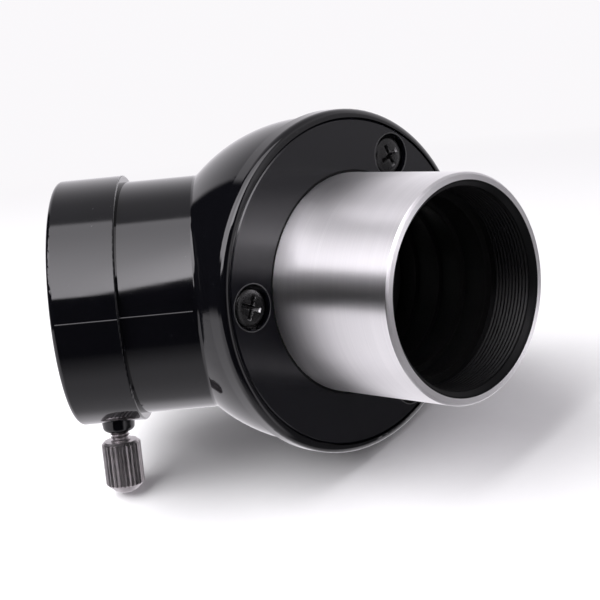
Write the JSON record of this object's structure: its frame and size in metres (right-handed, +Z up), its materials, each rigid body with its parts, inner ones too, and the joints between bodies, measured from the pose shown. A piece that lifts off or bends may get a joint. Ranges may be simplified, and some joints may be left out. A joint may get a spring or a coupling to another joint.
{
  "type": "star diagonal",
  "caption": "Erecting prism star diagonal that turns light 45 degrees: black bulb housing with a push-in eyepiece socket and thumbscrew, and a bright nosepiece barrel.",
  "frame": {"origin": "on the nosepiece axis at the face of the front plate", "axes": "+X out along the nosepiece, the bend in the XY plane with the eyepiece socket along (-0.707, -0.707, 0), +Z up, thumbscrew along -Z"},
  "size_m": [0.0677, 0.064, 0.0545],
  "materials": {
    "housing_black": "glossy injection moulded black",
    "plate_black": "glossy injection moulded black",
    "screw_black": "black oxide, lightly oiled",
    "bright_aluminium": "fine turned, satin bright",
    "liner_black": "matt black",
    "prism_glass": "polished optical glass with ground sides",
    "cradle_black": "matt black moulded",
    "small_steel": "zinc plated",
    "cork": "fine cork sheet",
    "spring_steel": "blued spring steel",
    "stop_black": "matt black",
    "insert_brass": "turned",
    "nickel": "nickel plated, knurled",
    "nylon": "natural nylon"
  },
  "bodies": {
    "diagonal": {"housing": "housing_black", "front_plate": "plate_black", "plate_screws": "screw_black", "nosepiece_barrel": "bright_aluminium", "barrel_liner": "liner_black", "roof_prism": "prism_glass", "prism_cradle": "cradle_black", "cradle_screws": "small_steel", "side_pads": "cork", "roof_pad": "cork", "prism_clip": "spring_steel", "eyepiece_stop": "stop_black", "thread_insert": "insert_brass"},
    "pressure_pad": {"stud_tip": "nylon"},
    "thumbscrew": {"thumbscrew_stud": "nickel", "thumbscrew_knob": "nickel"}
  },
  "joints": [
    {"name": "screw_feed", "type": "slide", "parent": "diagonal", "child": "pressure_pad", "axis": [0, 0, 1], "range_m": [-0.0024, 0.00115]},
    {"name": "thumbscrew_turn", "type": "hinge", "parent": "pressure_pad", "child": "thumbscrew", "pos_m": [-0.02997, -0.02312, 0], "axis": [0, 0, 1], "range_deg": [-1728.01, 828.01]}
  ],
  "couplings": [
    {"joint": "thumbscrew_turn", "follows": "screw_feed", "rad_per_m": 12566}
  ]
}
